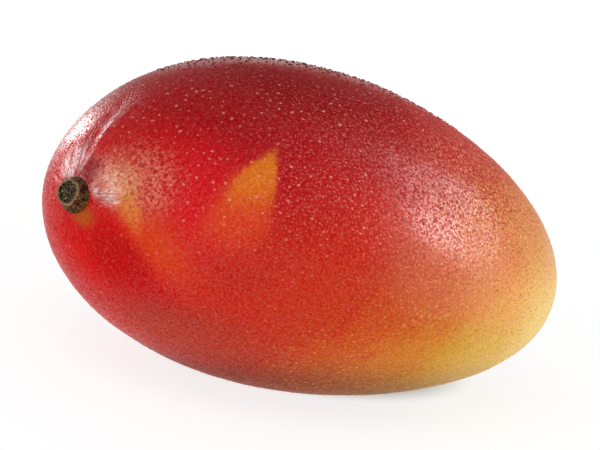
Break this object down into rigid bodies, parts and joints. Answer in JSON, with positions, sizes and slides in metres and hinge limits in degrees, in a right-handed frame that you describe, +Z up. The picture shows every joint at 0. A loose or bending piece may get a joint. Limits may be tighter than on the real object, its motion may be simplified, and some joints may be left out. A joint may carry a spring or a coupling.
{
  "type": "mango",
  "caption": "Whole ripe mango lying on its side, long oval and oblique, with the short broken stub of its stalk in the stem end.",
  "frame": {"origin": "on the surface it lies on, under the middle of the whole fruit's bounding box", "axes": "+X from the stem end to the apex along the length, +Y across the width, +Z up through the thickness as it lies"},
  "size_m": [0.1474, 0.09, 0.0829],
  "materials": {
    "skin": "waxy fruit skin, crimson over yellow, satin gloss",
    "stalk_wood": "dry rough bark, broken end"
  },
  "bodies": {
    "root": {"fruit": "skin", "stem": "stalk_wood"}
  },
  "joints": []
}
